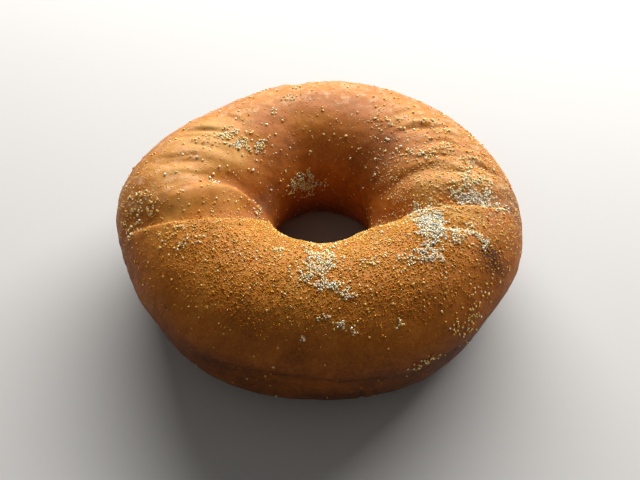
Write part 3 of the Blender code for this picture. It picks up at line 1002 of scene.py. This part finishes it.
# %% List the clumps
# ring angle, tube angle, reach along the ring and the tube in mm, slant in degrees, fullness, whiteness
Clump = namedtuple("Clump", "ring tube ring_reach tube_reach slant full white")
CLUMPS = (
    # the near side, in the middle
    Clump(271, 108, 3.4, 2.8, 0, 0.95, 0.80),
    Clump(270, 97, 3.4, 2.2, 0, 0.95, 0.85),
    Clump(264, 87, 2.4, 1.5, 20, 0.85, 0.85),
    Clump(270, 82, 2.2, 1.5, 0, 0.85, 0.90),
    Clump(276, 81, 1.8, 1.6, -20, 0.90, 0.85),
    Clump(279, 73, 1.6, 1.2, -30, 0.80, 0.85),
    Clump(270, 122, 4.6, 2.0, 0, 0.35, 0.70),
    Clump(247, 110, 1.2, 0.9, 0, 0.70, 0.75),
    # the long heap on the right, before the deep fold
    Clump(344, 115, 1.6, 2.6, 0, 0.90, 0.85),
    Clump(334, 105, 3.0, 2.8, 0, 0.95, 0.90),
    Clump(330, 98, 3.8, 2.6, 0, 1.00, 0.95),
    Clump(327, 90, 3.8, 2.6, 0, 1.00, 1.00),
    Clump(334, 91, 2.2, 2.0, 0, 0.90, 0.95),
    Clump(325, 83, 2.6, 1.5, 0, 0.80, 0.95),
    Clump(330, 75, 2.8, 1.5, 0, 0.95, 0.90),
    Clump(337, 68, 2.0, 1.2, 0, 0.90, 0.95),
    Clump(335.5, 58, 0.9, 1.5, 0, 0.95, 0.95),
    Clump(333, 53, 1.0, 1.2, 0, 0.90, 0.90),
    Clump(317, 80, 2.2, 2.0, 0, 0.72, 0.95),
    Clump(312, 83, 3.4, 1.6, 0, 0.78, 0.92),
    Clump(316, 74, 2.0, 1.4, 0, 0.80, 0.95),
    Clump(307, 88, 2.0, 1.0, 0, 0.55, 0.75),
    # sugar caught in the deep fold on the right
    Clump(348, 102, 1.2, 2.8, 0, 0.55, 0.70),
    Clump(353, 79, 2.0, 2.2, 0, 1.00, 1.00),
    Clump(355, 70, 2.6, 2.4, 0, 1.00, 1.00),
    Clump(355, 60, 2.4, 2.4, 0, 0.80, 1.00),
    Clump(354, 48, 2.0, 2.4, 0, 0.55, 0.80),
    Clump(358, 84, 2.0, 1.8, 0, 0.45, 0.75),
    Clump(3, 75, 2.4, 2.2, 0, 0.75, 0.80),
    Clump(2, 62, 2.6, 2.4, 0, 0.50, 0.75),
    Clump(12, 66, 2.6, 3.0, 0, 0.35, 0.70),
    Clump(20, 97, 2.0, 2.4, 0, 0.50, 0.70),
    Clump(21, 82, 2.6, 2.6, 0, 0.30, 0.65),
    Clump(36, 76, 3.4, 4.0, 0, 0.20, 0.60),
    # the far left
    Clump(145, 95, 3.0, 2.6, 0, 0.66, 0.78),
    Clump(143, 107, 3.2, 1.8, 20, 0.85, 0.80),
    Clump(138, 120, 2.8, 1.5, 20, 0.80, 0.75),
    Clump(155, 84, 5.0, 3.0, 0, 0.16, 0.60),
    Clump(178, 106, 0.9, 0.9, 0, 0.90, 0.85),
    # the outer left
    Clump(183, 46, 2.6, 3.2, 0, 0.30, 0.62),
    Clump(189, 56, 1.6, 2.4, 0, 0.36, 0.66),
    Clump(190, 34, 4.0, 3.0, 0, 0.22, 0.60),
    Clump(213, 70, 1.0, 1.8, 0, 0.60, 0.85),
    Clump(215, 81, 0.9, 1.2, 0, 0.55, 0.80),
    Clump(206, 64, 2.0, 3.0, 0, 0.25, 0.70),
    Clump(192, 148, 1.2, 1.4, 0, 0.45, 0.65),
    # the hole's far wall and the back
    Clump(138, 153, 1.0, 1.4, 0, 0.40, 0.45),
    Clump(116, 168, 3.2, 2.8, 0, 0.90, 0.64),
    Clump(104, 176, 3.2, 2.8, 0, 0.95, 0.64),
    Clump(104, 84, 2.8, 1.2, 0, 0.45, 0.65),
    Clump(55, 100, 4.0, 2.6, 0, 0.18, 0.60),
    # specks and thin scatters on the near side
    Clump(271, 56, 1.8, 0.8, 20, 0.55, 0.80),
    Clump(276, 51, 1.2, 0.8, -20, 0.75, 0.95),
    Clump(265, 43, 0.8, 1.8, 0, 0.40, 0.75),
    Clump(279, 46, 1.0, 0.9, 0, 0.50, 0.85),
    Clump(293, 45, 1.3, 1.2, 0, 0.45, 0.75),
    Clump(312, 20, 5.0, 3.4, 0, 0.20, 0.50),
    Clump(320, 30, 4.0, 3.0, 0, 0.16, 0.55),
    Clump(298, 8, 4.0, 2.4, 0, 0.16, 0.45),
    Clump(295, 97, 2.6, 1.4, 0, 0.40, 0.72),
    Clump(298, 4, 1.2, 0.7, 0, 0.60, 0.60),
)
print(len(CLUMPS), "clumps")

# %% Pile up the clumps
clump_draw = np.random.default_rng(55)
# how far apart a clump's crystals lie and how far each strays, in mm
GRAIN_SPACING = 0.50
GRAIN_STRAY = 0.15
CLUMP_WIDTHS = (0.26, 0.40)
CLUMP_TONE_SPREAD = 0.18
# the lowest crystals of a pile and how much higher its top ones stand, in mm
PILE_FOOT = 0.04
PILE_HEIGHT = 0.26


def clump_places(clump):
    """Places of one clump's crystals: a close jittered grid, cut to a ragged oval."""
    steps_across = np.arange(-1.5 * clump.ring_reach, 1.5 * clump.ring_reach, GRAIN_SPACING)
    steps_along = np.arange(-1.5 * clump.tube_reach, 1.5 * clump.tube_reach, GRAIN_SPACING)
    across, along = (side.ravel() for side in np.meshgrid(steps_across, steps_along))
    across = across + clump_draw.uniform(-GRAIN_STRAY, GRAIN_STRAY, across.size)
    along = along + clump_draw.uniform(-GRAIN_STRAY, GRAIN_STRAY, along.size)
    oval = np.exp(-((across / clump.ring_reach) ** 2) - (along / clump.tube_reach) ** 2)
    slant = np.radians(clump.slant)
    turned_across = across * np.cos(slant) - along * np.sin(slant)
    turned_along = across * np.sin(slant) + along * np.cos(slant)
    middle, _ = on_crust(np.array([float(clump.ring)]), np.array([float(clump.tube)]))
    radius = np.hypot(middle[0, 0], middle[0, 1])
    half = (OUTER_RADIUS - HOLE_RADIUS) / 2.0
    ring = clump.ring + np.degrees(turned_across / radius)
    tube = clump.tube + np.degrees(turned_along / half)
    points, _ = on_crust(ring, tube)
    ragged = smooth_step(0.15, 0.75, oval + 0.45 * (patchiness(points, 1.5, -0.3, 0.3) - 0.5))
    keep = clump_draw.random(ring.size) < clump.full * ragged
    return ring[keep], tube[keep]


clump_ring, clump_tube, clump_white = [], [], []
for clump in CLUMPS:
    ring, tube = clump_places(clump)
    clump_ring.append(ring)
    clump_tube.append(tube)
    clump_white.append(np.full(len(ring), clump.white))
clump_ring, clump_tube = np.concatenate(clump_ring), np.concatenate(clump_tube)
clump_width = clump_draw.uniform(*CLUMP_WIDTHS, len(clump_ring))
clump_points, clump_normals = on_crust(clump_ring, clump_tube)
clump_lift = PILE_FOOT + PILE_HEIGHT * clump_draw.random(len(clump_ring)) ** 2
clump_centres = clump_points + clump_normals * clump_lift[:, None]
clump_tone = np.concatenate(clump_white) + clump_draw.normal(0.0, CLUMP_TONE_SPREAD, len(clump_ring))
clump_tone = np.clip(clump_tone, 0.0, 1.0)
sugar_clumps = joined_grains("sugar_clumps", CUBE, clump_centres, clump_width, clump_tone, clump_draw)

# %% [markdown]
# ## The sugar's finish
#
# A sugar crystal is clear, so a thin scatter of it shows the gold of the crust and only a pile is white.
# Real refraction in more than 27,000 grains would be slow and noisy. Each grain instead has a tone: low
# ones take the crust's brown and gold, and the darkest caramel is also painted shade for the gaps between
# grains, high ones are creamy white, and flat glossy faces give the sparkle. Grains on the far half are
# painted paler, as painted light for the light behind shining through them.

# %% Make the sugar's materials
# the caramel at 0 is partly painted shade, standing for the dark gaps between grains
GRAIN_STOPS = (
    (0.0, (0.26, 0.070, 0.005)),
    (0.16, (0.68, 0.205, 0.008)),
    (0.36, (0.88, 0.45, 0.055)),
    (0.62, (0.97, 0.72, 0.33)),
    (1.0, (0.99, 0.89, 0.66)),
)
# how deep light goes into a grain, in mm
GRAIN_DEPTH = 0.60


def sugar_material(name, shine, roughness, clearness):
    """Translucent grains whose tone runs from caramel over the crust's gold and cream to white."""
    finish = Finish(name)
    colour = finish.node("ShaderNodeValToRGB", {"stops": GRAIN_STOPS}, {"Fac": finish.attribute("tone")})
    finish.surface(
        Base_Color=colour,
        Roughness=finish.noise(0.5) * 0.2 + roughness,
        Specular_IOR_Level=shine,
        Subsurface_Weight=clearness,
        Subsurface_Scale=GRAIN_DEPTH * MM,
        Subsurface_Radius=(1.0, 0.85, 0.65),
    )
    print(name, "finish:", len(finish.tree.nodes), "nodes")
    return finish.material


dust_finish = sugar_material("sugar_dust", shine=0.05, roughness=0.50, clearness=0.7)
sugar_dust.data.materials.append(dust_finish)
crystal_finish = sugar_material("sugar_crystals", shine=0.60, roughness=0.06, clearness=0.9)
for piece in (sugar_crystals, sugar_clumps):
    piece.data.materials.append(crystal_finish)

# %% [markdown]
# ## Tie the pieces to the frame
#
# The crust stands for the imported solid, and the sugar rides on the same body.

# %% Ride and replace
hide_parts("doughnut")
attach(crust, "root")
for piece in (sugar_dust, sugar_crystals, sugar_clumps):
    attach(piece, "root")
